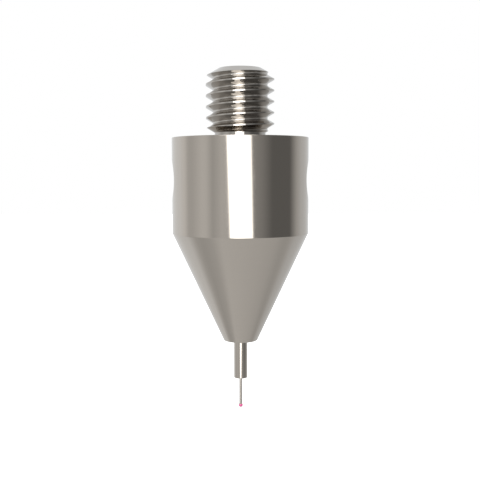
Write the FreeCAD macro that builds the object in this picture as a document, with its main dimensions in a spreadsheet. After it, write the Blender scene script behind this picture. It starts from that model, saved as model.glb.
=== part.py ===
# Stylus for a coordinate measuring machine, with an M5 threaded holder and a ruby ball of 0.3 mm.
#
# The origin lies on the stylus axis in the seat face, the flat ring that meets the probe.
# +Z runs along the threaded stud. The ball hangs below, at the far end of -Z.
# All sizes are in millimetres and degrees.
import FreeCAD
import Part
import math
import os

import Sketcher


# Driving sizes: name, value, what it is
SIZES = [
    ("holder_diameter", 10.0, "outside diameter of the holder's cylinder"),
    ("cylinder_length", 7.0, "seat face to the shoulder where the cone begins"),
    ("holder_length", 15.0, "seat face to the flat nose"),
    ("nose_diameter", 2.5, "flat nose at the small end of the cone"),
    ("edge_break", 0.04, "chamfer on the turned rims"),
    ("stud_length", 5.0, "seat face to the end of the stud"),
    ("thread_diameter", 5.0, "M5 outside diameter"),
    ("thread_pitch", 0.8, "M5 coarse pitch"),
    ("thread_flank_angle", 60.0, "angle between the two flanks of a groove"),
    ("thread_crest_flat", 0.1, "width left on a crest"),
    ("thread_root_radius", 0.115, "rounding of the groove's floor, tangent to both flanks"),
    ("thread_lead_in", 0.19, "groove's centre below the seat face where it starts, on the +X side"),
    ("stud_end_diameter", 3.15, "flat end of the stud, inside its lead chamfer"),
    ("stud_cone_angle", 120.0, "included angle of the lead chamfer and of the relief's cone"),
    ("relief_diameter", 3.73, "neck turned under the thread"),
    ("relief_width", 0.36, "length of the neck's straight part"),
    ("relief_fillet", 0.03, "root radius between the neck and the seat face"),
    ("cross_hole_diameter", 3.0, "hole for the tommy bar that turns the holder"),
    ("cross_hole_depth", 3.05, "seat face to the hole's axis"),
    ("cross_hole_chamfer", 0.06, "broken edge at the hole's two mouths"),
    ("drill_point_angle", 118.0, "included angle at the bottom of the drilled sockets"),
    ("sleeve_diameter", 1.0, "outside diameter of the stem's sleeve"),
    ("sleeve_projection", 2.86, "nose to the sleeve's lower end"),
    ("sleeve_grip", 4.5, "length of the sleeve inside the holder"),
    ("sleeve_chamfer", 0.02, "chamfer on the sleeve's two ends"),
    ("sleeve_film", 0.02, "adhesive between the sleeve and its socket"),
    ("stem_diameter", 0.2, "diameter of the stem"),
    ("stem_grip", 3.0, "length of the stem inside the sleeve"),
    ("stem_film", 0.02, "adhesive between the stem and its socket"),
    ("ball_diameter", 0.3, "diameter of the ball"),
    ("ball_distance", 20.0, "seat face to the centre of the ball"),
    ("ball_film", 0.01, "adhesive between the ball and its cup"),
    ("film_reach_angle", 38.0, "angle above the ball's equator where its adhesive ends"),
    ("cup_rim", 0.015, "flat left around the cup in the end of the stem"),
]

# Two lengths this close are the same, an edge point this near lies on a surface,
# and a cut that takes less than this volume has missed
SAME_LENGTH = 1e-6
ON_SURFACE = 1e-3
LEAST_CUT = 0.01

# Places along an edge, as shares of its length, where it is compared with a surface
SAMPLED_SHARES = (0, 0.3, 0.6)

doc = FreeCAD.newDocument("cmm_stylus")
sizes = doc.addObject("Spreadsheet::Sheet", "sizes")
for row, (alias, number, meaning) in enumerate(SIZES, start=1):
    sizes.set(f"A{row}", meaning)
    sizes.set(f"B{row}", str(number))
    sizes.setAlias(f"B{row}", alias)
doc.recompute()

# Heights and radii that several pieces share, as expressions of the driving sizes
HOLDER_R = "sizes.holder_diameter / 2"
SHOULDER_Z = "-sizes.cylinder_length"
NOSE_Z = "-sizes.holder_length"
NOSE_R = "sizes.nose_diameter / 2"
THREAD_R = "sizes.thread_diameter / 2"
RELIEF_R = "sizes.relief_diameter / 2"
SLEEVE_R = "sizes.sleeve_diameter / 2"
SLEEVE_TOP_Z = f"{NOSE_Z} + sizes.sleeve_grip"
SLEEVE_END_Z = f"{NOSE_Z} - sizes.sleeve_projection"
SLEEVE_SOCKET_R = f"{SLEEVE_R} + sizes.sleeve_film"
STEM_R = "sizes.stem_diameter / 2"
STEM_TOP_Z = f"{SLEEVE_END_Z} + sizes.stem_grip"
STEM_SOCKET_R = f"{STEM_R} + sizes.stem_film"
BALL_R = "sizes.ball_diameter / 2"
BALL_Z = "-sizes.ball_distance"
CUP_R = f"{BALL_R} + sizes.ball_film"
CUP_MOUTH_R = f"({STEM_R} - sizes.cup_rim)"
STEM_END_Z = f"{BALL_Z} + sqrt(({CUP_R}) ^ 2 - {CUP_MOUTH_R} ^ 2)"


def value(expression):
    """The number that an expression of the named sizes comes to."""
    return float(sizes.evalExpression(expression))


def socket_tip(radius, floor):
    """Height of the point that a drill leaves above a socket's floor."""
    return f"{floor} + ({radius}) / tan(sizes.drill_point_angle / 2)"


def add_body(name):
    """A new body, labelled with the name of the piece."""
    body = doc.addObject("PartDesign::Body", name)
    body.Label = name
    return body


def add_sketch(body, name, role="XZ_Plane"):
    """An empty sketch on one of the body's own origin planes."""
    sketch = body.newObject("Sketcher::SketchObject", name)
    plane = [f for f in body.Origin.OriginFeatures if f.Role == role][0]
    sketch.AttachmentSupport = [(plane, "")]
    sketch.MapMode = "FlatFace"
    return sketch


def pin_point(sketch, geometry, end, across, up, name):
    """Hold one point of a sketch at its distance across and up from the origin, None being free."""
    for kind, letter, expression in (("DistanceX", "x", across), ("DistanceY", "y", up)):
        if expression is None:
            continue
        label = f"{name}_{letter}"
        here = value(expression)
        index = sketch.addConstraint(Sketcher.Constraint(kind, -1, 1, geometry, end, here))
        sketch.renameConstraint(index, label)
        sketch.setExpression(f"Constraints.{label}", expression)


def draw_outline(sketch, corners):
    """A closed outline of straight lines through named corners, each (name, across, up)."""
    points = [FreeCAD.Vector(value(across), value(up), 0) for _, across, up in corners]
    count = len(points)
    for i in range(count):
        sketch.addGeometry(Part.LineSegment(points[i], points[(i + 1) % count]), False)
    for i in range(count):
        sketch.addConstraint(Sketcher.Constraint("Coincident", i, 2, (i + 1) % count, 1))
    for i, (name, across, up) in enumerate(corners):
        pin_point(sketch, i, 1, across, up, name)
    doc.recompute()


def draw_groove(sketch, centre_r, corners):
    """The thread's groove: lines through its four named corners, and a round floor from the last corner
    back to the first, whose centre lies at this distance from the axis."""
    points = [FreeCAD.Vector(value(across), value(up), 0) for _, across, up in corners]
    for i in range(len(points) - 1):
        sketch.addGeometry(Part.LineSegment(points[i], points[i + 1]), False)
    centre = FreeCAD.Vector(value(centre_r), value("-sizes.thread_lead_in"), 0)
    circle = Part.Circle(centre, FreeCAD.Vector(0, 0, 1), value("sizes.thread_root_radius"))
    first = math.pi / 2 + math.radians(value("sizes.thread_flank_angle") / 2)
    floor = sketch.addGeometry(Part.ArcOfCircle(circle, first, 2 * math.pi - first), False)
    for i in range(floor):
        sketch.addConstraint(Sketcher.Constraint("Coincident", i, 2, i + 1, 1))
    sketch.addConstraint(Sketcher.Constraint("Coincident", floor, 2, 0, 1))
    for i, (name, across, up) in enumerate(corners):
        pin_point(sketch, i, 1, across, up, name)
    pin_point(sketch, floor, 3, centre_r, None, "floor_centre")
    doc.recompute()


def turn(body, kind, sketch, name):
    """Revolve a sketch about the stylus axis, kind being Revolution to add or Groove to cut."""
    feature = body.newObject(f"PartDesign::{kind}", name)
    feature.Profile = sketch
    feature.ReferenceAxis = (sketch, ["V_Axis"])
    feature.Angle = 360
    doc.recompute()
    return feature


def rims(shape, radius, height):
    """Names of the round edges about the stylus axis at this radius and height."""
    found = []
    for number, edge in enumerate(shape.Edges, start=1):
        if edge.Curve.TypeId != "Part::GeomCircle":
            continue
        centre = edge.Curve.Center
        on_axis = math.hypot(centre.x, centre.y) < SAME_LENGTH
        at_height = abs(centre.z - height) < SAME_LENGTH
        if on_axis and at_height and abs(edge.Curve.Radius - radius) < SAME_LENGTH:
            found.append(f"Edge{number}")
    return found


def break_edges(body, base, edges, kind, name, size):
    """Chamfer or fillet the named edges of the base feature."""
    feature = body.newObject(f"PartDesign::{kind}", name)
    feature.Base = (base, edges)
    feature.setExpression("Size" if kind == "Chamfer" else "Radius", size)
    doc.recompute()
    return feature


def make_holder():
    """The turned steel holder: threaded stud, relief, cylinder, cone, cross hole and blind socket."""
    body = add_body("holder")

    # The stud is turned first, with its relief neck below the thread and a lead chamfer at its end
    flare = "tan(sizes.stud_cone_angle / 2)"
    blank = add_sketch(body, "stud_section")
    draw_outline(blank, [
        ("axis_low", "0", "0"),
        ("neck_low", RELIEF_R, "0"),
        ("neck_high", RELIEF_R, "sizes.relief_width"),
        ("thread_low", THREAD_R, f"sizes.relief_width + ({THREAD_R} - {RELIEF_R}) / {flare}"),
        ("thread_high", THREAD_R,
         f"sizes.stud_length - ({THREAD_R} - sizes.stud_end_diameter / 2) / {flare}"),
        ("end_rim", "sizes.stud_end_diameter / 2", "sizes.stud_length"),
        ("axis_high", "0", "sizes.stud_length"),
    ])
    stud = turn(body, "Revolution", blank, "stud")

    # The thread's groove runs out of the relief and off the stud's end
    slope = "tan(sizes.thread_flank_angle / 2)"
    steepness = "sin(sizes.thread_flank_angle / 2)"
    apex_r = f"{THREAD_R} - (sizes.thread_pitch - sizes.thread_crest_flat) / 2 / {slope}"
    centre_r = f"{apex_r} + sizes.thread_root_radius / {steepness}"
    tangent_r = f"{centre_r} - sizes.thread_root_radius * {steepness}"
    mouth_r = f"{THREAD_R} + sizes.thread_crest_flat / 4 / {slope}"
    half_floor = "sizes.thread_root_radius * cos(sizes.thread_flank_angle / 2)"
    half_mouth = "(sizes.thread_pitch / 2 - sizes.thread_crest_flat / 4)"
    groove = add_sketch(body, "thread_section")
    draw_groove(groove, centre_r, [
        ("floor_low", tangent_r, f"-sizes.thread_lead_in - {half_floor}"),
        ("mouth_low", mouth_r, f"-sizes.thread_lead_in - {half_mouth}"),
        ("mouth_high", mouth_r, f"-sizes.thread_lead_in + {half_mouth}"),
        ("floor_high", tangent_r, f"-sizes.thread_lead_in + {half_floor}"),
    ])
    thread = body.newObject("PartDesign::SubtractiveHelix", "thread")
    thread.Profile = groove
    thread.ReferenceAxis = (groove, ["V_Axis"])
    thread.Mode = "pitch-height-angle"
    thread.LeftHanded = False
    thread.Angle = 0
    thread.setExpression("Pitch", "sizes.thread_pitch")
    thread.setExpression("Height", "sizes.stud_length + sizes.thread_lead_in + sizes.thread_pitch")
    doc.recompute()
    assert thread.Shape.Volume < stud.Shape.Volume - LEAST_CUT, "the thread's groove has cut nothing"

    # The cylinder and the cone carry the stud on the seat face
    outline = add_sketch(body, "holder_section")
    draw_outline(outline, [
        ("seat_axis", "0", "0"),
        ("seat_rim", HOLDER_R, "0"),
        ("shoulder", HOLDER_R, SHOULDER_Z),
        ("nose_rim", NOSE_R, NOSE_Z),
        ("nose_axis", "0", NOSE_Z),
    ])
    turned = turn(body, "Revolution", outline, "cylinder_and_cone")

    # The tommy bar's hole crosses the cylinder along X
    ring = add_sketch(body, "cross_hole_section", "YZ_Plane")
    centre = FreeCAD.Vector(0, value("-sizes.cross_hole_depth"), 0)
    ring.addGeometry(Part.Circle(centre, FreeCAD.Vector(0, 0, 1), value("sizes.cross_hole_diameter / 2")))
    pin_point(ring, 0, 3, "0", "-sizes.cross_hole_depth", "centre")
    index = ring.addConstraint(Sketcher.Constraint("Diameter", 0, value("sizes.cross_hole_diameter")))
    ring.renameConstraint(index, "bore")
    ring.setExpression("Constraints.bore", "sizes.cross_hole_diameter")
    cross = body.newObject("PartDesign::Pocket", "cross_hole")
    cross.Profile = ring
    cross.Type = "Length"
    cross.SideType = "Symmetric"
    cross.setExpression("Length", "sizes.holder_diameter + 2 * sizes.cross_hole_diameter")
    doc.recompute()
    assert cross.Shape.Volume < turned.Shape.Volume - LEAST_CUT, "the cross hole has cut nothing"

    # The sleeve's blind socket is drilled up the axis from the nose
    drilled = add_sketch(body, "sleeve_socket_section")
    draw_outline(drilled, [
        ("mouth_axis", "0", NOSE_Z),
        ("mouth_rim", SLEEVE_SOCKET_R, NOSE_Z),
        ("floor_rim", SLEEVE_SOCKET_R, SLEEVE_TOP_Z),
        ("tip", "0", socket_tip(SLEEVE_SOCKET_R, SLEEVE_TOP_Z)),
    ])
    socket = turn(body, "Groove", drilled, "sleeve_socket")
    assert socket.Shape.Volume < cross.Shape.Volume - LEAST_CUT, "the sleeve's socket has cut nothing"

    # Rims are broken, and the neck meets the seat face in a small root radius
    outer = rims(socket.Shape, value(HOLDER_R), 0) + rims(socket.Shape, value(NOSE_R), value(NOSE_Z))
    rim_break = break_edges(body, socket, outer, "Chamfer", "rim_break", "sizes.edge_break")
    root = rims(rim_break.Shape, value(RELIEF_R), 0)
    root_fillet = break_edges(body, rim_break, root, "Fillet", "root_fillet", "sizes.relief_fillet")
    mouths = mouth_edges(root_fillet.Shape)
    break_edges(body, root_fillet, mouths, "Chamfer", "mouth_break", "sizes.cross_hole_chamfer")
    return body


def mouth_edges(shape):
    """Names of the edges where the cross hole comes out of the holder's cylinder."""
    found = []
    wall_r = value(HOLDER_R)
    hole_r = value("sizes.cross_hole_diameter / 2")
    depth = value("sizes.cross_hole_depth")
    for number, edge in enumerate(shape.Edges, start=1):
        first, last = edge.ParameterRange
        points = [edge.valueAt(first + (last - first) * share) for share in SAMPLED_SHARES]
        on_wall = all(abs(math.hypot(p.x, p.y) - wall_r) < ON_SURFACE for p in points)
        on_hole = all(abs(math.hypot(p.y, p.z + depth) - hole_r) < ON_SURFACE for p in points)
        if on_wall and on_hole:
            found.append(f"Edge{number}")
    return found


def make_sleeve():
    """The steel sleeve that is bonded into the nose and carries the stem."""
    body = add_body("stem_sleeve")
    outline = add_sketch(body, "sleeve_section")
    draw_outline(outline, [
        ("end_axis", "0", SLEEVE_END_Z),
        ("end_rim", SLEEVE_R, SLEEVE_END_Z),
        ("top_rim", SLEEVE_R, SLEEVE_TOP_Z),
        ("top_axis", "0", SLEEVE_TOP_Z),
    ])
    blank = turn(body, "Revolution", outline, "sleeve_blank")
    drilled = add_sketch(body, "stem_socket_section")
    draw_outline(drilled, [
        ("mouth_axis", "0", SLEEVE_END_Z),
        ("mouth_rim", STEM_SOCKET_R, SLEEVE_END_Z),
        ("floor_rim", STEM_SOCKET_R, STEM_TOP_Z),
        ("tip", "0", socket_tip(STEM_SOCKET_R, STEM_TOP_Z)),
    ])
    socket = turn(body, "Groove", drilled, "stem_socket")
    assert socket.Shape.Volume < blank.Shape.Volume - LEAST_CUT, "the stem's socket has cut nothing"
    ends = [rims(socket.Shape, value(SLEEVE_R), value(z)) for z in (SLEEVE_END_Z, SLEEVE_TOP_Z)]
    break_edges(body, socket, ends[0] + ends[1], "Chamfer", "end_chamfers", "sizes.sleeve_chamfer")
    return body


def make_stem():
    """The thin tungsten carbide stem, with a cup ground in its end for the ball."""
    body = add_body("stem")
    outline = add_sketch(body, "stem_section")
    draw_outline(outline, [
        ("end_axis", "0", STEM_END_Z),
        ("end_rim", STEM_R, STEM_END_Z),
        ("top_rim", STEM_R, STEM_TOP_Z),
        ("top_axis", "0", STEM_TOP_Z),
    ])
    blank = turn(body, "Revolution", outline, "stem_blank")
    hollow = add_sketch(body, "cup_section")
    low = value(f"{BALL_Z} - ({CUP_R})")
    high = value(f"{BALL_Z} + {CUP_R}")
    circle = Part.Circle(FreeCAD.Vector(0, value(BALL_Z), 0), FreeCAD.Vector(0, 0, 1), value(CUP_R))
    hollow.addGeometry(Part.ArcOfCircle(circle, -math.pi / 2, math.pi / 2), False)
    hollow.addGeometry(Part.LineSegment(FreeCAD.Vector(0, high, 0), FreeCAD.Vector(0, low, 0)), False)
    hollow.addConstraint(Sketcher.Constraint("Coincident", 0, 2, 1, 1))
    hollow.addConstraint(Sketcher.Constraint("Coincident", 1, 2, 0, 1))
    pin_point(hollow, 0, 3, "0", BALL_Z, "centre")
    pin_point(hollow, 1, 1, "0", f"{BALL_Z} + {CUP_R}", "top")
    hollow.addConstraint(Sketcher.Constraint("PointOnObject", 1, 2, -2))
    doc.recompute()
    cup = turn(body, "Groove", hollow, "cup")
    assert cup.Shape.Volume < blank.Shape.Volume, "the cup has cut nothing"
    return body


def make_ball():
    """The ruby ball, which is the tip that touches the workpiece."""
    ball = doc.addObject("Part::Sphere", "ruby_ball")
    ball.Label = "ruby_ball"
    ball.setExpression("Radius", BALL_R)
    ball.setExpression("Placement.Base.z", BALL_Z)
    return ball


def make_socket_film(name, inner_r, outer_r, mouth, top, chamfer):
    """The cured adhesive that fills a drilled socket around the round piece bonded into it."""
    body = add_body(name)
    section = add_sketch(body, f"{name}_section")
    corners = [
        ("mouth_in", inner_r, mouth),
        ("mouth_out", outer_r, mouth),
        ("floor_out", outer_r, top),
        ("tip", "0", socket_tip(outer_r, top)),
        ("top_axis", "0", top),
    ]
    if chamfer:
        corners += [
            ("chamfer_top", f"{inner_r} - {chamfer}", top),
            ("chamfer_side", inner_r, f"{top} - {chamfer}"),
        ]
    else:
        corners.append(("top_in", inner_r, top))
    draw_outline(section, corners)
    turn(body, "Revolution", section, f"{name}_turned")
    return body


def make_ball_film():
    """The cured adhesive between the ball and the cup. It is flush with the stem's side at its rim, and
    runs as a thin film over the upper part of the ball."""
    body = add_body("ball_adhesive")
    section = add_sketch(body, "ball_adhesive_section")
    centre = FreeCAD.Vector(0, value(BALL_Z), 0)
    ball = Part.Circle(centre, FreeCAD.Vector(0, 0, 1), value(BALL_R))
    cup = Part.Circle(centre, FreeCAD.Vector(0, 0, 1), value(CUP_R))
    reach = math.radians(value("sizes.film_reach_angle"))
    rim_turn = math.acos(value(STEM_R) / value(CUP_R))
    mouth_turn = math.acos(value(CUP_MOUTH_R) / value(CUP_R))
    ball_side = Part.ArcOfCircle(ball, reach, math.pi / 2)
    cup_side = Part.ArcOfCircle(cup, mouth_turn, math.pi / 2)
    open_side = Part.ArcOfCircle(cup, reach, rim_turn)
    corner = FreeCAD.Vector(value(STEM_R), value(STEM_END_Z), 0)
    section.addGeometry(ball_side, False)
    section.addGeometry(cup_side, False)
    section.addGeometry(open_side, False)
    section.addGeometry(Part.LineSegment(open_side.EndPoint, corner), False)
    section.addGeometry(Part.LineSegment(corner, cup_side.StartPoint), False)
    section.addGeometry(Part.LineSegment(cup_side.EndPoint, ball_side.EndPoint), False)
    section.addGeometry(Part.LineSegment(ball_side.StartPoint, open_side.StartPoint), False)
    meetings = ((2, 2, 3, 1), (3, 2, 4, 1), (4, 2, 1, 1), (1, 2, 5, 1), (5, 2, 0, 2), (0, 1, 6, 1),
                (6, 2, 2, 1))
    for ends in meetings:
        section.addConstraint(Sketcher.Constraint("Coincident", *ends))
    section.addConstraint(Sketcher.Constraint("Vertical", 3))
    section.addConstraint(Sketcher.Constraint("Horizontal", 4))
    section.addConstraint(Sketcher.Constraint("Equal", 1, 2))
    for arc, name in ((0, "ball_centre"), (1, "cup_centre"), (2, "film_centre")):
        pin_point(section, arc, 3, "0", BALL_Z, name)
    pin_point(section, 0, 2, "0", f"{BALL_Z} + {BALL_R}", "ball_top")
    pin_point(section, 1, 2, "0", f"{BALL_Z} + {CUP_R}", "cup_top")
    pin_point(section, 3, 2, STEM_R, None, "stem_rim")
    pin_point(section, 4, 2, CUP_MOUTH_R, None, "cup_mouth")
    pin_point(section, 6, 1, f"({BALL_R}) * cos(sizes.film_reach_angle)", None, "film_end_in")
    pin_point(section, 6, 2, f"({CUP_R}) * cos(sizes.film_reach_angle)", None, "film_end_out")
    doc.recompute()
    turn(body, "Revolution", section, "ball_adhesive_turned")
    return body


make_holder()
make_sleeve()
make_stem()
make_ball()
make_socket_film("sleeve_adhesive", SLEEVE_R, SLEEVE_SOCKET_R, NOSE_Z, SLEEVE_TOP_Z, "sizes.sleeve_chamfer")
make_socket_film("stem_adhesive", STEM_R, STEM_SOCKET_R, SLEEVE_END_Z, STEM_TOP_Z, None)
make_ball_film()

pieces = [
    doc.getObject(name)
    for name in ("holder", "stem_sleeve", "stem", "ruby_ball",
                 "sleeve_adhesive", "stem_adhesive", "ball_adhesive")
]
doc.recompute()

for item in doc.Objects:
    assert not {"Invalid", "Error"} & set(item.State), f"{item.Name} failed: {item.State}"
for piece in pieces:
    shape = piece.Shape
    assert not shape.isNull() and shape.isValid(), f"{piece.Label} has no valid shape"
    print(f"{piece.Label}: {len(shape.Solids)} solid, {shape.Volume:.6f} mm3")

os.makedirs("parts", exist_ok=True)
for piece in pieces:
    piece.Shape.exportStep(f"parts/{piece.Label}.step")
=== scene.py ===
# Stylus for a coordinate measuring machine: an M5 stud, a polished steel holder with a conical nose,
# a thin carbide stem in a steel sleeve, and a ruby ball of 0.3 mm.
import math

import bpy
import numpy as np
from mathutils import Matrix


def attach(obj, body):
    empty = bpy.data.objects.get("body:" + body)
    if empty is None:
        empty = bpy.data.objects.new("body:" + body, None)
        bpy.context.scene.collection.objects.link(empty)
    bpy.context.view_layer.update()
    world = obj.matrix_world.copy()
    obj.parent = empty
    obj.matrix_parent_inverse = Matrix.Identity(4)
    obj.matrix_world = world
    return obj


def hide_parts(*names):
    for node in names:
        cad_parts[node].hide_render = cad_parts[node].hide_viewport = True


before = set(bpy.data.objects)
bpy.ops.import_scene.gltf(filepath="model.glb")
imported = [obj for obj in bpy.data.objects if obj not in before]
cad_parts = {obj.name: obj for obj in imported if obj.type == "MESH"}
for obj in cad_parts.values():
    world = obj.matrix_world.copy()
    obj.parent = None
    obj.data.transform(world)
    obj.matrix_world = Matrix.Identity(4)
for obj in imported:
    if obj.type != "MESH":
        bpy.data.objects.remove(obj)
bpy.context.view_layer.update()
scene = bpy.context.scene
scene.view_settings.view_transform = "Standard"


# The view
# The camera stands 59 mm in front of the stylus, just below its seat face. It looks 5 degrees down, with a
# very slight roll. Its place is in metres, and its lens and film are in millimetres.
VIEW_TILT = math.radians(4.933)
VIEW_ROLL = math.radians(0.1433)
VIEW_PLACE = (-0.00003, -0.058674, -0.002456)
FOCAL_LENGTH = 59.627
FILM_WIDTH = 36.0

ahead = np.array([0.0, math.cos(VIEW_TILT), -math.sin(VIEW_TILT)])
level = np.array([1.0, 0.0, 0.0])
upright = np.array([0.0, math.sin(VIEW_TILT), math.cos(VIEW_TILT)])
stance = np.eye(4)
stance[:3, 0] = math.cos(VIEW_ROLL) * level - math.sin(VIEW_ROLL) * upright
stance[:3, 1] = math.sin(VIEW_ROLL) * level + math.cos(VIEW_ROLL) * upright
stance[:3, 2] = -ahead
stance[:3, 3] = VIEW_PLACE
lens = bpy.data.cameras.new("camera")
lens.sensor_width = FILM_WIDTH
lens.lens = FOCAL_LENGTH
lens.clip_start = 0.001
lens.clip_end = 5.0
camera = bpy.data.objects.new("camera", lens)
camera.matrix_world = Matrix(stance.tolist())
scene.collection.objects.link(camera)
scene.camera = camera


# The studio
# A white room: a light panel stands behind the camera, a grey curtain to its left, a dark screen to its
# right, and a white backdrop behind the stylus. A lamp hangs overhead, and the pale floor lies below.
FULL_TURN = 2 * math.pi
WHITE = (1.0, 1.0, 1.0, 1.0)
AMBIENT_LIGHT = (0.7, 0.7, 0.7, 1.0)
BACKDROP_FROM = 110
BACKDROP_COOLNESS = 0.02

# The room as polished metal sees it: (degrees to the right of the camera's side, brightness). The walls
# give way to the floor and to the ceiling from the first height to the second, where straight up is 1.
WALLS = [(-180, 0.92), (-120, 1.00), (-106, 0.92), (-95, 0.67), (-86, 0.67), (-66, 0.83), (-58, 0.81),
         (-46, 0.59), (-30, 0.75), (22, 0.40), (36, 0.34), (54, 0.18), (90, 0.18), (108, 0.59),
         (122, 0.75), (180, 0.86)]
FLOOR = [(-180, 0.86), (-134, 0.92), (-115, 0.91), (-98, 0.63), (-86, 0.57), (-64, 0.63), (-44, 0.78),
         (0, 0.75), (50, 0.70), (78, 0.65), (98, 0.56), (107, 0.58), (122, 0.72), (180, 0.80)]
CEILING = [(-180, 0.95), (-110, 0.85), (-70, 0.42), (-30, 0.36), (0, 0.32), (35, 0.20), (85, 0.19),
           (115, 0.72), (180, 0.98)]
FLOOR_EDGE = (-0.12, -0.46)
CEILING_EDGE = (0.30, 0.75)


def add_node(tree, kind, inputs=None, **settings):
    """A node with its settings. Each input is a number, a colour, or the socket that feeds it."""
    node = tree.nodes.new(kind)
    for name, value in settings.items():
        setattr(node, name, value)
    for key, value in (inputs or {}).items():
        if isinstance(value, bpy.types.NodeSocket):
            tree.links.new(value, node.inputs[key])
        else:
            node.inputs[key].default_value = value
    return node


def work_out(tree, operation, *values):
    """The output of a Math node on up to three values."""
    return add_node(tree, "ShaderNodeMath", dict(enumerate(values)), operation=operation).outputs[0]


def fade(tree, value, start, end):
    """0 before start and 1 after end, with a smooth change between them."""
    node = add_node(tree, "ShaderNodeMapRange", {0: value, 1: start, 2: end, 3: 0.0, 4: 1.0},
                    interpolation_type="SMOOTHSTEP")
    return node.outputs[0]


def mix(tree, share, first, second):
    """The first colour where share is 0, the second where it is 1, and a mix of them between."""
    return add_node(tree, "ShaderNodeMix", {0: share, 6: first, 7: second}, data_type="RGBA").outputs[2]


def split(tree, vector):
    """The x, y and z of a vector."""
    return add_node(tree, "ShaderNodeSeparateXYZ", {0: vector}).outputs


def distance(tree, x, y):
    """The square root of x squared plus y squared."""
    squares = [work_out(tree, "MULTIPLY", value, value) for value in (x, y)]
    return work_out(tree, "SQRT", work_out(tree, "ADD", *squares))


def room_ramp(tree, turn, stops):
    """Brightness round the room, where turn goes from 0 to 1. The backdrop behind the stylus is a little
    cooler than the rest."""
    ramp = add_node(tree, "ShaderNodeValToRGB", {0: turn})
    for i, (degrees, grey) in enumerate(stops):
        place = 0.5 + degrees / 360
        cool = BACKDROP_COOLNESS if abs(degrees) > BACKDROP_FROM else 0.0
        if i < 2:
            stop = ramp.color_ramp.elements[i]
            stop.position = place
        else:
            stop = ramp.color_ramp.elements.new(place)
        stop.color = (grey * (1 - cool), grey, grey * (1 + cool), 1.0)
    return ramp.outputs[0]


world = bpy.data.worlds.new("studio")
world.use_nodes = True
scene.world = world
room = world.node_tree
room.nodes.clear()
towards = split(room, add_node(room, "ShaderNodeTexCoord").outputs["Generated"])
round_room = work_out(room, "ARCTAN2", towards[0], work_out(room, "MULTIPLY", towards[1], -1.0))
turn = work_out(room, "MULTIPLY_ADD", round_room, 1 / FULL_TURN, 0.5)
walls = room_ramp(room, turn, WALLS)
lower = mix(room, fade(room, towards[2], *FLOOR_EDGE), walls, room_ramp(room, turn, FLOOR))
whole = mix(room, fade(room, towards[2], *CEILING_EDGE), lower, room_ramp(room, turn, CEILING))
rays = add_node(room, "ShaderNodeLightPath").outputs
mirrored = work_out(room, "MAXIMUM", rays["Is Glossy Ray"], rays["Is Transmission Ray"])
seen = mix(room, rays["Is Camera Ray"], mix(room, mirrored, AMBIENT_LIGHT, whole), WHITE)
sky = add_node(room, "ShaderNodeBackground", {"Color": seen, "Strength": 1.0})
add_node(room, "ShaderNodeOutputWorld", {"Surface": sky.outputs[0]})


def add_panel(name, width, height, brightness, place, turned):
    """A rectangular lamp of even brightness, where 1 is white, in metres and degrees."""
    lamp = bpy.data.lights.new(name, "AREA")
    lamp.shape = "RECTANGLE"
    lamp.size = width
    lamp.size_y = height
    lamp.energy = brightness * math.pi * width * height
    panel = bpy.data.objects.new(name, lamp)
    panel.location = place
    panel.rotation_euler = [math.radians(a) for a in turned]
    panel.visible_camera = False
    scene.collection.objects.link(panel)
    return panel


# The light panel leans over and to one side. Its bulb, three eighths of the way up, lights a patch of its
# cloth that reaches a third of the width and a ninth of the height each way. How far a place is from the
# bulb is counted in those reaches, and the patch fades out round its edge.
CLOTH_BRIGHTNESS = 2.5
BULB_BRIGHTNESS = 2.8
BULB_PLACE = (0.5, 0.375)
PATCH_REACH = (1 / 3, 1 / 9)
PATCH_EDGE = (1.2, 0.8)

light_panel = add_panel("light_panel", width=0.110, height=0.263, brightness=1.0,
                        place=(-0.0184, -0.1522, 0.044), turned=(72.0, -22.0, 0.0))
light_panel.visible_diffuse = False
light_panel.data.use_nodes = True
cloth = light_panel.data.node_tree
cloth.nodes.clear()
on_cloth = split(cloth, add_node(cloth, "ShaderNodeNewGeometry").outputs["Parametric"])
offset = [work_out(cloth, "DIVIDE", work_out(cloth, "SUBTRACT", on_cloth[i], BULB_PLACE[i]), PATCH_REACH[i])
          for i in (0, 1)]
patch = fade(cloth, distance(cloth, *offset), *PATCH_EDGE)
glow = work_out(cloth, "MULTIPLY_ADD", patch, BULB_BRIGHTNESS, CLOTH_BRIGHTNESS)
lit_cloth = add_node(cloth, "ShaderNodeEmission", {"Color": WHITE, "Strength": glow})
add_node(cloth, "ShaderNodeOutputLight", {"Surface": lit_cloth.outputs[0]})
add_panel("overhead_lamp", width=0.12, height=0.12, brightness=5.0,
          place=(0.0, 0.0, 0.25), turned=(0.0, 0.0, 0.0))

# The floor is painted pale grey. The camera also sees it glow, faintly under the stylus, where the shadow
# lies, and up to white further out. Its sizes are metres.
FLOOR_Z = -0.07
FLOOR_HALF = 1.2
FLOOR_PAINT = (0.86, 0.86, 0.86, 1.0)
NEAR_GLOW = 0.45
FAR_GLOW = 1.05
GLOW_EDGE = (0.05, 0.4)

ground = bpy.data.meshes.new("floor")
corners = [(x * FLOOR_HALF, y * FLOOR_HALF, FLOOR_Z) for x, y in ((-1, -1), (1, -1), (1, 1), (-1, 1))]
ground.from_pydata(corners, [], [(0, 1, 2, 3)])


def new_material(name):
    """A material that has no nodes yet, and its node tree."""
    material = bpy.data.materials.new(name)
    material.use_nodes = True
    material.node_tree.nodes.clear()
    return material, material.node_tree


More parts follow.
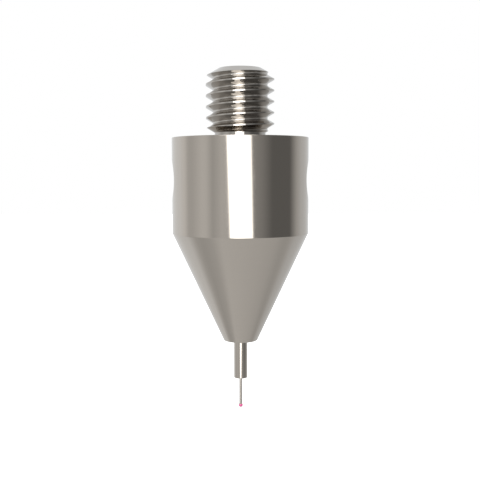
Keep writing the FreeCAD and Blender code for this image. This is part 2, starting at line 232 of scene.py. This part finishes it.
pale_floor, tree = new_material("pale_floor")
matt = add_node(tree, "ShaderNodeBsdfDiffuse", {"Color": FLOOR_PAINT})
here = split(tree, add_node(tree, "ShaderNodeTexCoord").outputs["Object"])
away = fade(tree, distance(tree, here[0], here[1]), *GLOW_EDGE)
glow = work_out(tree, "MULTIPLY_ADD", away, FAR_GLOW - NEAR_GLOW, NEAR_GLOW)
to_camera = add_node(tree, "ShaderNodeLightPath").outputs["Is Camera Ray"]
glowing = add_node(tree, "ShaderNodeEmission",
                   {"Color": WHITE, "Strength": work_out(tree, "MULTIPLY", glow, to_camera)})
both = add_node(tree, "ShaderNodeAddShader", {0: matt.outputs[0], 1: glowing.outputs[0]})
add_node(tree, "ShaderNodeOutputMaterial", {"Surface": both.outputs[0]})
ground.materials.append(pale_floor)
floor = bpy.data.objects.new("floor", ground)
floor.visible_glossy = False
floor.visible_transmission = False
scene.collection.objects.link(floor)


# The holder
# One bar of stainless steel, turned and polished: the M5 stud with its relief neck, the cylinder with
# the drilled cross hole, and the cone with the socket for the sleeve in its nose. Lengths are millimetres.
HOLDER_R = 5.0
CYLINDER_LENGTH = 7.0
HOLDER_LENGTH = 15.0
NOSE_R = 1.25
EDGE_BREAK = 0.04
SHOULDER_BREAK = 0.03
STUD_LENGTH = 5.0
STUD_END_R = 1.575
STUD_CONE_HALF_ANGLE = math.radians(60)
THREAD_R = 2.5
THREAD_PITCH = 0.8
THREAD_CREST = 0.1
THREAD_ROOT_R = 0.115
THREAD_LEAD_IN = 0.19
THREAD_HALF_ANGLE = math.radians(30)
RELIEF_R = 1.865
RELIEF_WIDTH = 0.36
RELIEF_FILLET = 0.03
HOLE_R = 1.5
HOLE_Z = -3.05
HOLE_BREAK = 0.06
SLEEVE_SOCKET_R = 0.52
SLEEVE_TOP_Z = -10.5
DRILL_HALF_ANGLE = math.radians(59)
STAINLESS = (0.475, 0.437, 0.391)
CUT_STAINLESS = (0.452, 0.427, 0.396)

# How finely the surfaces are divided, and how near points meet. Points are rounded to the weld length, and
# the shift keeps the drawn lengths away from where the rounding changes.
COLUMNS = 240
ROUND_ROWS = 6
ROOT_ROWS = 10
FLANK_ROWS = 6
WALL_ROWS = 20
MOUTH_COLUMNS = 28
MOUTH_RINGS = 14
RING_CROWDING = 1.4
LIP_ROWS = 6
BORE_ROWS = 8
MILLIMETRE = 0.001
WELD = 1e-5
WELD_SHIFT = 0.37


def profile(corners):
    """Stretches of a turned outline through corners (r, z, cut), from its upper end round the outside to its
    lower end. Each is a pair of arrays, points (r, z) and outward normals, where the normal is the way of
    travel turned left. A corner with a cut becomes an arc that leaves both straight stretches at that
    distance from the corner: centre plus or minus radius times the normal, which turns evenly."""
    corners = np.asarray(corners, float)
    spots, cuts = corners[:, :2], corners[:, 2:]
    ways = np.diff(spots, axis=0)
    ways /= np.linalg.norm(ways, axis=1, keepdims=True)
    normals = np.stack([-ways[:, 1], ways[:, 0]], axis=1)
    starts = spots[:-1] + ways * cuts[:-1]
    ends = spots[1:] - ways * cuts[1:]
    stretches = []
    for i, normal in enumerate(normals):
        stretches.append((np.stack([starts[i], ends[i]]), np.stack([normal, normal])))
        if i + 1 < len(normals) and cuts[i + 1, 0] > 0:
            first, last = (math.atan2(n[1], n[0]) for n in (normal, normals[i + 1]))
            bend = (last - first + math.pi) % FULL_TURN - math.pi
            angle = first + bend * np.linspace(0, 1, ROUND_ROWS + 1)
            turned = np.stack([np.cos(angle), np.sin(angle)], axis=1)
            reach = -math.copysign(cuts[i + 1, 0] / math.tan(abs(bend) / 2), bend)
            stretches.append((ends[i] + reach * (turned - normal), turned))
    return stretches


def drill_point(radius, z):
    """The corner where a drilled socket ends in a point, over the end of its straight wall at height z."""
    return 0, z + radius / math.tan(DRILL_HALF_ANGLE), 0


def revolve(stretch, columns):
    """One stretch carried round the axis: (r, z) goes to (r cos a, r sin a, z) at every angle a."""
    angle = np.linspace(0, FULL_TURN, columns + 1)
    patch = []
    for r, z in (column.T for column in stretch):
        patch.append(np.stack([np.outer(r, np.cos(angle)), np.outer(r, np.sin(angle)),
                               np.outer(z, np.ones_like(angle))], axis=-1))
    return tuple(patch)


def make_piece(name, patches, material, node):
    """One closed piece from its patches. A patch is a grid of points and the grid of their normals. Its cells
    are turned to face along the normals, points that meet are welded, and cells that shrink to a line go."""
    points = np.concatenate([p.reshape(-1, 3) for p, _ in patches])
    normals = np.concatenate([n.reshape(-1, 3) for _, n in patches])
    cells = []
    start = 0
    for grid, _ in patches:
        rows, columns = grid.shape[:2]
        index = start + np.arange(rows * columns).reshape(rows, columns)
        cells.append(np.stack([index[:-1, :-1], index[:-1, 1:], index[1:, 1:], index[1:, :-1]],
                              axis=-1).reshape(-1, 4))
        start += rows * columns
    cells = np.concatenate(cells)
    across = np.cross(points[cells[:, 2]] - points[cells[:, 0]], points[cells[:, 3]] - points[cells[:, 1]])
    inward = (across * normals[cells].sum(axis=1)).sum(axis=1) < 0
    cells[inward] = cells[inward, ::-1]
    _, kept, welded = np.unique(np.rint(points / WELD + WELD_SHIFT).astype(np.int64), axis=0,
                                return_index=True, return_inverse=True)
    corners = welded.reshape(-1)[cells]
    distinct = corners != np.roll(corners, -1, axis=1)
    whole = distinct.sum(axis=1) > 2
    distinct = distinct[whole]
    sides = distinct.sum(axis=1)
    mesh = bpy.data.meshes.new(name)
    mesh.vertices.add(len(kept))
    mesh.vertices.foreach_set("co", (points[kept] * MILLIMETRE).ravel())
    mesh.loops.add(int(sides.sum()))
    mesh.loops.foreach_set("vertex_index", corners[whole][distinct].astype(np.int32))
    mesh.polygons.add(len(sides))
    mesh.polygons.foreach_set("loop_start", (np.cumsum(sides) - sides).astype(np.int32))
    mesh.update(calc_edges=True)
    mesh.shade_smooth()
    mesh.normals_split_custom_set(normals[cells[whole]][distinct])
    mesh.materials.append(material)
    piece = bpy.data.objects.new(name, mesh)
    scene.collection.objects.link(piece)
    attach(piece, "root")
    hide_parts(node)


def thread_patches():
    """The threaded length as a radius over angle a and height z. Its rows climb with the helix, one pitch a
    turn, and stop at the neck and at the end. The radius is the least of three: the groove; the relief's
    cone; and the cone of the lead chamfer. Where a cone crosses the groove, its nearest row moves there. In
    the groove, d from its middle, the root is the circle centre_r - sqrt(R^2 - d^2), which meets the
    straight flanks where they are tangent to it, and the flanks end at the outside radius."""
    flank = 1 / math.tan(THREAD_HALF_ANGLE)
    cone = math.tan(STUD_CONE_HALF_ANGLE)
    half_mouth = (THREAD_PITCH - THREAD_CREST) / 2
    apex_r = THREAD_R - half_mouth * flank
    centre_r = apex_r + THREAD_ROOT_R / math.sin(THREAD_HALF_ANGLE)
    half_root = THREAD_ROOT_R * math.cos(THREAD_HALF_ANGLE)
    root_turn = math.pi / 2 - THREAD_HALF_ANGLE
    root_rows = THREAD_ROOT_R * np.sin(np.linspace(-root_turn, root_turn, ROOT_ROWS + 1))
    flank_rows = np.linspace(half_root, half_mouth, FLANK_ROWS + 1)[1:]
    one_turn = np.concatenate([root_rows, flank_rows, THREAD_PITCH - flank_rows[::-1]])
    turns = range(-1, math.ceil(STUD_LENGTH / THREAD_PITCH) + 1)
    rise = np.concatenate([one_turn + THREAD_PITCH * k for k in turns])
    angle = np.linspace(0, FULL_TURN, COLUMNS + 1)
    climb = THREAD_PITCH * angle / FULL_TURN - THREAD_LEAD_IN
    z = np.clip(rise[:, None] + climb, RELIEF_WIDTH, STUD_LENGTH)

    def from_middle(height):
        """How far a height lies above the middle of the nearest turn of the groove."""
        return (height - climb + THREAD_PITCH / 2) % THREAD_PITCH - THREAD_PITCH / 2

    def surfaces(height):
        """The radius of the groove, of the relief's cone and of the lead chamfer at a height."""
        offset = np.abs(from_middle(height))
        root = centre_r - np.sqrt(np.maximum(THREAD_ROOT_R ** 2 - offset ** 2, 0))
        groove = np.where(offset < half_root, root, np.minimum(apex_r + offset * flank, THREAD_R))
        relief = RELIEF_R + (height - RELIEF_WIDTH) * cone
        lead = STUD_END_R + (STUD_LENGTH - height) * cone
        return groove, relief, lead

    for cone_index, on_cone in ((1, z[:-1]), (2, z[1:])):
        found = surfaces(z)
        gap = found[0] - found[cone_index]
        crossing = gap[:-1] * gap[1:] < 0
        share = np.where(crossing, gap[:-1] / np.where(crossing, gap[:-1] - gap[1:], 1), 0)
        target = z[:-1] + share * (z[1:] - z[:-1])
        on_cone[crossing] = target[crossing]
    r = np.minimum.reduce(surfaces(z))
    points = np.stack([r * np.cos(angle), r * np.sin(angle), z], axis=-1)
    middle = (z[1:] + z[:-1]) / 2
    least = np.argmin(surfaces(middle), axis=0)
    fold = from_middle(middle)
    in_root = np.abs(fold) < half_root
    on_flank = ~in_root & (np.abs(fold) < half_mouth)
    ends = []
    for side in (0, 1):
        offset = np.clip(fold + (side - 0.5) * (z[1:] - z[:-1]), -half_root, half_root)
        round_slope = offset / np.sqrt(THREAD_ROOT_R ** 2 - offset ** 2)
        up_slope = np.where(in_root, round_slope, np.where(on_flank, np.sign(fold) * flank, 0))
        dr_dz = np.choose(least, [up_slope, cone, -cone])
        dr_da = np.where(least == 0, -up_slope * THREAD_PITCH / FULL_TURN, 0)
        tangent = dr_da / r[side:len(r) - 1 + side]
        normal = np.stack([np.cos(angle) + tangent * np.sin(angle),
                           np.sin(angle) - tangent * np.cos(angle), -dr_dz], axis=-1)
        ends.append(normal / np.linalg.norm(normal, axis=-1, keepdims=True))
    return [(points[i:i + 2], np.stack([ends[0][i], ends[1][i]])) for i in range(len(middle))]


def wall_patches(top_z, low_z):
    """The cylinder's wall, where (a, z) goes to (R cos a, R sin a, z), with the cross hole along X. Rings run
    from each mouth, a circle of the hole's radius seen along X, out to a rectangle of the wall. A small
    round leads from the wall into the hole: a quadratic curve whose middle point is the sharp edge."""
    step = FULL_TURN / COLUMNS
    heights = np.linspace(low_z, top_z, WALL_ROWS + 1)
    span = np.arange(-MOUTH_COLUMNS, MOUTH_COLUMNS + 1) * step

    def wall(a, z):
        """Points and normals of the cylinder."""
        flat = np.zeros_like(a)
        return (np.stack([HOLDER_R * np.cos(a), HOLDER_R * np.sin(a), z], axis=-1),
                np.stack([np.cos(a), np.sin(a), flat], axis=-1))

    patches = []
    for first in (MOUTH_COLUMNS, COLUMNS // 2 + MOUTH_COLUMNS):
        a = np.arange(first, first + COLUMNS // 2 - 2 * MOUTH_COLUMNS + 1) * step
        patches.append(wall(*np.meshgrid(a, heights)))
    edge_a = np.concatenate([span[:-1], np.full(WALL_ROWS, span[-1]), span[:0:-1],
                             np.full(WALL_ROWS + 1, span[0])])
    edge_z = np.concatenate([np.full(2 * MOUTH_COLUMNS, low_z), heights[:-1],
                             np.full(2 * MOUTH_COLUMNS, top_z), heights[:0:-1], [low_z]])
    u = np.arctan2(edge_z - HOLE_Z, HOLDER_R * edge_a)
    mouth_r = HOLE_R + HOLE_BREAK
    share = np.linspace(0, 1, MOUTH_RINGS + 1)[:, None] ** RING_CROWDING
    mouth_a = np.arcsin(mouth_r * np.cos(u) / HOLDER_R)
    mouth_z = HOLE_Z + mouth_r * np.sin(u)
    ring, ring_n = wall(mouth_a + (edge_a - mouth_a) * share, mouth_z + (edge_z - mouth_z) * share)
    sharp_y = HOLE_R * np.cos(u)
    sharp_x = np.sqrt(HOLDER_R ** 2 - sharp_y ** 2)
    sharp = np.stack([sharp_x, sharp_y, HOLE_Z + HOLE_R * np.sin(u)], axis=-1)
    inner = sharp - np.array([HOLE_BREAK, 0, 0])
    bore_n = np.stack([np.zeros_like(u), -np.cos(u), -np.sin(u)], axis=-1)
    t = np.linspace(0, 1, LIP_ROWS + 1)[:, None, None]
    lip = (1 - t) ** 2 * ring[0] + 2 * t * (1 - t) * sharp + t ** 2 * inner
    lip_n = (1 - t) * ring_n[0] + t * bore_n
    lip_n /= np.linalg.norm(lip_n, axis=-1, keepdims=True)
    along = np.linspace(1, -1, BORE_ROWS + 1)[:, None, None]
    bore = inner * np.array([0, 1, 1]) + inner * np.array([1, 0, 0]) * along
    patches.append((bore, np.broadcast_to(bore_n, bore.shape)))
    for mirror in (np.array([1, 1, 1]), np.array([-1, 1, 1])):
        patches += [(ring * mirror, ring_n * mirror), (lip * mirror, lip_n * mirror)]
    return patches


def add_group(name, inputs, outputs):
    """An empty shader node group with named inputs and outputs, and the two nodes that hold them."""
    group = bpy.data.node_groups.new(name, "ShaderNodeTree")
    for side, sockets in (("INPUT", inputs), ("OUTPUT", outputs)):
        for label, kind in sockets:
            group.interface.new_socket(label, in_out=side, socket_type="NodeSocket" + kind)
    return group, group.nodes.new("NodeGroupInput").outputs, group.nodes.new("NodeGroupOutput").inputs


def place_group(tree, group, inputs):
    """The outputs of a group that a material uses with its own values."""
    return add_node(tree, "ShaderNodeGroup", inputs, node_tree=group).outputs


def all_of(tree, first, *others):
    """The product of masks, which is 1 where all of them are 1."""
    for mask in others:
        first = work_out(tree, "MULTIPLY", first, mask)
    return first


# Turning marks: rings about the axis. A noise is read at (radius, height) times the number of rings to the
# metre, and it drifts slowly round the piece.
RING_DRIFT = 120.0

turning_marks, given, result = add_group(
    "turning_marks", [("Vector", "Vector"), ("Rings", "Float")], [("Mark", "Float")])
spot = split(turning_marks, given["Vector"])
ringed = add_node(turning_marks, "ShaderNodeCombineXYZ", {
    0: work_out(turning_marks, "MULTIPLY", distance(turning_marks, spot[0], spot[1]), given["Rings"]),
    1: work_out(turning_marks, "MULTIPLY", spot[2], given["Rings"]),
    2: work_out(turning_marks, "MULTIPLY", work_out(turning_marks, "ADD", spot[0], spot[1]), RING_DRIFT)})
rings = add_node(turning_marks, "ShaderNodeTexNoise",
                 {"Vector": ringed.outputs[0], "Scale": 1.0, "Detail": 3.0, "Roughness": 0.6})
turning_marks.links.new(rings.outputs[0], result["Mark"])

# Handling marks: hair-fine scratches, each set a noise drawn out along its own direction, and faint smears.
# The counts are to the metre, and a scratch shows where the noise is near its top.
SCRATCH_TURNS = ((0.5, 0.3, 0.9), (1.9, 1.1, 0.2))
SCRATCH_SHRINK = (1.0, 1.0, 0.02)
SCRATCH_EDGE = (0.66, 0.74)
SCRATCH_COUNT = 9000.0
SMEAR_COUNT = 350.0

handling_marks, given, result = add_group(
    "handling_marks", [("Vector", "Vector"), ("Scale", "Float")], [("Scratch", "Float"), ("Smear", "Float")])
sets = []
for turned in SCRATCH_TURNS:
    laid = add_node(handling_marks, "ShaderNodeMapping",
                    {"Vector": given["Vector"], "Rotation": turned, "Scale": SCRATCH_SHRINK})
    hair = add_node(handling_marks, "ShaderNodeTexNoise",
                    {"Vector": laid.outputs[0], "Scale": given["Scale"], "Detail": 2.0, "Roughness": 0.5})
    sets.append(fade(handling_marks, hair.outputs[0], *SCRATCH_EDGE))
handling_marks.links.new(work_out(handling_marks, "MAXIMUM", *sets), result["Scratch"])
smear = add_node(handling_marks, "ShaderNodeTexNoise",
                 {"Vector": given["Vector"], "Scale": SMEAR_COUNT, "Detail": 3.0, "Roughness": 0.6})
handling_marks.links.new(smear.outputs[0], result["Smear"])

# What isn't polished: the stud is cut, so it is a little greyer than the body. Its relief neck is darkened
# with painted shade, standing in for the shade in that recess. The tool has torn the floor of the groove in
# short streaks along the helix. The cross hole's bore is left as it was drilled. Each finish starts from 0 at
# the first height or radius, in metres, and is full at the second. The streaks are counted to the metre
# across, and to the radian round the axis.
STUD_ABOVE = (0.00001, 0.00002)
NECK_BELOW = (0.00048, 0.00044)
TORN_ABOVE = (0.0005, 0.0006)
TORN_BELOW = (0.00478, 0.00474)
TORN_WITHIN = (0.00212, 0.00206)
BORE_WITHIN = (0.00494, 0.00488)
BORE_BELOW = (-0.0010, -0.0012)
BORE_ABOVE = (-0.0052, -0.0050)
STREAK_COUNT = 14000.0
STREAK_COUNT_ROUND = 6.0

cut_finish_and_neck_shade, given, result = add_group(
    "cut_finish_and_neck_shade", [("Vector", "Vector")],
    [("Cut", "Float"), ("NeckPaintedShade", "Float"), ("Torn", "Float"), ("Bore", "Float")])
spot = split(cut_finish_and_neck_shade, given["Vector"])
height = spot[2]
radius = distance(cut_finish_and_neck_shade, spot[0], spot[1])
stud = fade(cut_finish_and_neck_shade, height, *STUD_ABOVE)
# Painted shade: this mask darkens the relief neck's tint, where the recess would lie in shade.
painted_neck_shade = all_of(cut_finish_and_neck_shade, stud, fade(cut_finish_and_neck_shade, height, *NECK_BELOW))
torn = all_of(cut_finish_and_neck_shade, fade(cut_finish_and_neck_shade, radius, *TORN_WITHIN), fade(cut_finish_and_neck_shade, height, *TORN_ABOVE),
              fade(cut_finish_and_neck_shade, height, *TORN_BELOW))
bore = all_of(cut_finish_and_neck_shade, fade(cut_finish_and_neck_shade, radius, *BORE_WITHIN), fade(cut_finish_and_neck_shade, height, *BORE_BELOW),
              fade(cut_finish_and_neck_shade, height, *BORE_ABOVE))
round_axis = work_out(cut_finish_and_neck_shade, "ARCTAN2", spot[1], spot[0])
off_helix = work_out(cut_finish_and_neck_shade, "MULTIPLY_ADD", round_axis, -THREAD_PITCH * MILLIMETRE / FULL_TURN, height)
drawn = add_node(cut_finish_and_neck_shade, "ShaderNodeCombineXYZ", {
    0: work_out(cut_finish_and_neck_shade, "MULTIPLY", radius, STREAK_COUNT),
    1: work_out(cut_finish_and_neck_shade, "MULTIPLY", off_helix, STREAK_COUNT),
    2: work_out(cut_finish_and_neck_shade, "MULTIPLY", round_axis, STREAK_COUNT_ROUND)})
streaks = add_node(cut_finish_and_neck_shade, "ShaderNodeTexNoise",
                   {"Vector": drawn.outputs[0], "Scale": 1.0, "Detail": 1.0, "Roughness": 0.5})
cut_finish_and_neck_shade.links.new(stud, result["Cut"])
cut_finish_and_neck_shade.links.new(painted_neck_shade, result["NeckPaintedShade"])
cut_finish_and_neck_shade.links.new(all_of(cut_finish_and_neck_shade, torn, streaks.outputs[0]), result["Torn"])
cut_finish_and_neck_shade.links.new(bore, result["Bore"])

# What each mark adds where it is full: to the brightness of the tint, to the roughness, and to the relief,
# as a multiple of the turning marks' own depth.
RING_SHADE = 0.05
SCRATCH_SHADE = -0.03
# The neck's painted shade: how much the relief neck's tint is darkened.
NECK_PAINTED_SHADE = -0.12
RING_ROUGHNESS = 0.03
SCRATCH_ROUGHNESS = 0.05
SMEAR_ROUGHNESS = 0.05
CUT_ROUGHNESS = -0.07
BORE_ROUGHNESS = 0.25
SCRATCH_DEPTH = -0.4
TORN_DEPTH = 1000.0


def metal(name, tint, roughness, rings, depth, machined_and_neck_shade=False):
    """A metal with turning marks and handling marks. The tint is its reflected colour, rings the number of
    marks to the metre and depth the height of the marks in metres. The machined places of the holder are
    finished as they were cut, and its relief neck is darkened with painted shade."""
    material, tree = new_material(name)
    place = add_node(tree, "ShaderNodeTexCoord").outputs["Object"]
    marks = place_group(tree, turning_marks, {"Vector": place, "Rings": rings})
    wear = place_group(tree, handling_marks, {"Vector": place, "Scale": SCRATCH_COUNT})
    shade = work_out(tree, "MULTIPLY_ADD", marks["Mark"], RING_SHADE, 1 - RING_SHADE / 2)
    shade = work_out(tree, "MULTIPLY_ADD", wear["Scratch"], SCRATCH_SHADE, shade)
    rough = work_out(tree, "MULTIPLY_ADD", wear["Smear"], SMEAR_ROUGHNESS, roughness - SMEAR_ROUGHNESS / 2)
    rough = work_out(tree, "MULTIPLY_ADD", marks["Mark"], RING_ROUGHNESS, rough)
    rough = work_out(tree, "MULTIPLY_ADD", wear["Scratch"], SCRATCH_ROUGHNESS, rough)
    relief = work_out(tree, "MULTIPLY_ADD", wear["Scratch"], SCRATCH_DEPTH, marks["Mark"])
    if machined_and_neck_shade:
        cut_and_neck_shade = place_group(tree, cut_finish_and_neck_shade, {"Vector": place})
        tint = mix(tree, cut_and_neck_shade["Cut"], (*tint, 1.0), (*CUT_STAINLESS, 1.0))
        rough = work_out(tree, "MULTIPLY_ADD", cut_and_neck_shade["Cut"], CUT_ROUGHNESS, rough)
        rough = work_out(tree, "MULTIPLY_ADD", cut_and_neck_shade["Bore"], BORE_ROUGHNESS, rough)
        # Painted shade on the relief neck's tint.
        shade = work_out(tree, "MULTIPLY_ADD", cut_and_neck_shade["NeckPaintedShade"], NECK_PAINTED_SHADE, shade)
        relief = work_out(tree, "MULTIPLY_ADD", cut_and_neck_shade["Torn"], TORN_DEPTH, relief)
    colour = add_node(tree, "ShaderNodeVectorMath", {0: tint, 3: shade}, operation="SCALE")
    bump = add_node(tree, "ShaderNodeBump", {"Height": relief, "Distance": depth, "Strength": 1.0})
    surface = add_node(tree, "ShaderNodeBsdfPrincipled", {
        "Base Color": colour.outputs[0], "Metallic": 1.0, "Roughness": rough, "Normal": bump.outputs[0]})
    add_node(tree, "ShaderNodeOutputMaterial", {"Surface": surface.outputs[0]})
    return material


holder_steel = metal("holder_steel_polished", STAINLESS, roughness=0.10, rings=22000.0, depth=1e-8,
                     machined_and_neck_shade=True)
end_face = profile([(0, STUD_LENGTH, 0), (STUD_END_R, STUD_LENGTH, 0)])
outline = profile([
    (RELIEF_R, RELIEF_WIDTH, 0), (RELIEF_R, 0, RELIEF_FILLET), (HOLDER_R, 0, EDGE_BREAK),
    (HOLDER_R, -CYLINDER_LENGTH, SHOULDER_BREAK), (NOSE_R, -HOLDER_LENGTH, EDGE_BREAK),
    (SLEEVE_SOCKET_R, -HOLDER_LENGTH, 0), (SLEEVE_SOCKET_R, SLEEVE_TOP_Z, 0),
    drill_point(SLEEVE_SOCKET_R, SLEEVE_TOP_Z)])
# The fifth stretch is the cylinder's wall. The cross hole breaks it, so wall_patches makes it instead.
(_, wall_top_z), (_, wall_low_z) = outline.pop(4)[0]
holder = [revolve(stretch, COLUMNS) for stretch in end_face + outline]
make_piece("holder_turned", holder + thread_patches() + wall_patches(wall_top_z, wall_low_z),
           holder_steel, "holder")


# The sleeve
# A 1 mm pin of stainless steel, ground round and chamfered at both ends, with a socket drilled for the
# stem. It is bonded 4.5 mm deep into the holder's nose.
SLEEVE_R = 0.5
SLEEVE_END_Z = -17.86
SLEEVE_CHAMFER = 0.02
SLEEVE_ROUND = 0.004
SLEEVE_COLUMNS = 128
STEM_SOCKET_R = 0.12
STEM_TOP_Z = -14.86


def make_round_piece(name, outline, columns, material, node):
    """A piece that is round all over, from the stretches of its outline."""
    make_piece(name, [revolve(stretch, columns) for stretch in outline], material, node)


sleeve_steel = metal("sleeve_steel_ground", STAINLESS, roughness=0.08, rings=40000.0, depth=1e-8)
outline = profile([
    (0, SLEEVE_TOP_Z, 0), (SLEEVE_R - SLEEVE_CHAMFER, SLEEVE_TOP_Z, SLEEVE_ROUND),
    (SLEEVE_R, SLEEVE_TOP_Z - SLEEVE_CHAMFER, SLEEVE_ROUND),
    (SLEEVE_R, SLEEVE_END_Z + SLEEVE_CHAMFER, SLEEVE_ROUND),
    (SLEEVE_R - SLEEVE_CHAMFER, SLEEVE_END_Z, SLEEVE_ROUND), (STEM_SOCKET_R, SLEEVE_END_Z, 0),
    (STEM_SOCKET_R, STEM_TOP_Z, 0), drill_point(STEM_SOCKET_R, STEM_TOP_Z)])
make_round_piece("sleeve_ground", outline, SLEEVE_COLUMNS, sleeve_steel, "stem_sleeve")


# The stem
# A tungsten carbide rod of 0.2 mm, ground round, with a cup ground in its end that seats the ball. It is
# bonded 3 mm deep into the sleeve.
STEM_R = 0.1
STEM_TOP_ROUND = 0.004
STEM_END_ROUND = 0.002
STEM_COLUMNS = 96
BALL_R = 0.15
BALL_Z = -20.0
BALL_FILM = 0.01
CUP_RIM = 0.015
CUP_ROWS = 16
CARBIDE = (0.465, 0.427, 0.385)


def arc(radius, first, last, rows, outward):
    """A round stretch of an outline about the ball's centre, from one angle to another. Its normals point
    away from the centre, or to it where outward is -1."""
    angle = np.linspace(first, last, rows + 1)
    way = np.stack([np.cos(angle), np.sin(angle)], axis=1)
    return np.array([0, BALL_Z]) + radius * way, outward * way


cup_r = BALL_R + BALL_FILM
cup_mouth = math.acos((STEM_R - CUP_RIM) / cup_r)
stem_end_z = BALL_Z + cup_r * math.sin(cup_mouth)
carbide = metal("carbide_ground", CARBIDE, roughness=0.16, rings=60000.0, depth=1e-8)
outline = profile([(0, STEM_TOP_Z, 0), (STEM_R, STEM_TOP_Z, STEM_TOP_ROUND),
                   (STEM_R, stem_end_z, STEM_END_ROUND), (STEM_R - CUP_RIM, stem_end_z, 0)])
outline.append(arc(cup_r, cup_mouth, math.pi / 2, CUP_ROWS, -1))
make_round_piece("stem_ground", outline, STEM_COLUMNS, carbide, "stem")


# The ball
# Synthetic ruby, ground and polished to a true sphere. It sits in the cup of the stem, bonded there, and
# its colour is a little cloudy inside.
BALL_ROWS = 64
BALL_COLUMNS = 128
RUBY_PALE = (0.93, 0.15, 0.42, 1.0)
RUBY_DEEP = (0.89, 0.11, 0.35, 1.0)
RUBY_CLOUD_COUNT = 6000.0

ruby, tree = new_material("ruby_polished")
place = add_node(tree, "ShaderNodeTexCoord").outputs["Object"]
clouds = add_node(tree, "ShaderNodeTexNoise", {"Vector": place, "Scale": RUBY_CLOUD_COUNT, "Detail": 2.0})
surface = add_node(tree, "ShaderNodeBsdfPrincipled", {
    "Base Color": mix(tree, clouds.outputs[0], RUBY_PALE, RUBY_DEEP), "Roughness": 0.04, "IOR": 1.77,
    "Transmission Weight": 0.8})
add_node(tree, "ShaderNodeOutputMaterial", {"Surface": surface.outputs[0]})
outline = [arc(BALL_R, math.pi / 2, -math.pi / 2, BALL_ROWS, 1)]
make_round_piece("ruby_ball_polished", outline, BALL_COLUMNS, ruby, "ruby_ball")


# The adhesive
# Cured clear epoxy fills the two sockets and the cup, and shows as a thin ring where each piece goes in.
# Round the ball it runs down as a thin film, to 38 degrees above the ball's equator.
FILM_REACH = math.radians(38)
FILM_OUTER_ROWS = 10
FILM_INNER_ROWS = 24
EPOXY_PALE = (0.66, 0.53, 0.42, 1.0)
EPOXY_DARK = (0.58, 0.46, 0.36, 1.0)
EPOXY_CLOUD_COUNT = 9000.0
EPOXY_RELIEF = 1e-6

epoxy, tree = new_material("epoxy_cured")
place = add_node(tree, "ShaderNodeTexCoord").outputs["Object"]
clouds = add_node(tree, "ShaderNodeTexNoise", {"Vector": place, "Scale": EPOXY_CLOUD_COUNT, "Detail": 3.0})
bump = add_node(tree, "ShaderNodeBump",
                {"Height": clouds.outputs[0], "Distance": EPOXY_RELIEF, "Strength": 0.3})
surface = add_node(tree, "ShaderNodeBsdfPrincipled", {
    "Base Color": mix(tree, clouds.outputs[0], EPOXY_PALE, EPOXY_DARK), "Roughness": 0.2, "IOR": 1.5,
    "Normal": bump.outputs[0]})
add_node(tree, "ShaderNodeOutputMaterial", {"Surface": surface.outputs[0]})


def fill(inner_r, outer_r, mouth_z, top_z, chamfer=0):
    """The adhesive in a drilled socket, from the drill's point round the outside to the mouth and back up
    the bonded piece, which may have a chamfered end."""
    corners = [drill_point(outer_r, top_z), (outer_r, top_z, 0), (outer_r, mouth_z, 0),
               (inner_r, mouth_z, 0), (inner_r, top_z - chamfer, 0)]
    if chamfer:
        corners.append((inner_r - chamfer, top_z, 0))
    return profile(corners + [(0, top_z, 0)])


outline = fill(SLEEVE_R, SLEEVE_SOCKET_R, -HOLDER_LENGTH, SLEEVE_TOP_Z, SLEEVE_CHAMFER)
make_round_piece("sleeve_bond", outline, SLEEVE_COLUMNS, epoxy, "sleeve_adhesive")
outline = fill(STEM_R, STEM_SOCKET_R, SLEEVE_END_Z, STEM_TOP_Z)
make_round_piece("stem_bond", outline, STEM_COLUMNS, epoxy, "stem_adhesive")

rim_turn = math.acos(STEM_R / cup_r)
outline = [arc(cup_r, math.pi / 2, cup_mouth, CUP_ROWS, 1)]
outline += profile([(STEM_R - CUP_RIM, stem_end_z, 0), (STEM_R, stem_end_z, 0),
                    (STEM_R, BALL_Z + cup_r * math.sin(rim_turn), 0)])
outline.append(arc(cup_r, rim_turn, FILM_REACH, FILM_OUTER_ROWS, 1))
outline += profile([(r * math.cos(FILM_REACH), BALL_Z + r * math.sin(FILM_REACH), 0)
                    for r in (cup_r, BALL_R)])
outline.append(arc(BALL_R, FILM_REACH, math.pi / 2, FILM_INNER_ROWS, -1))
make_round_piece("ball_bond", outline, STEM_COLUMNS, epoxy, "ball_adhesive")
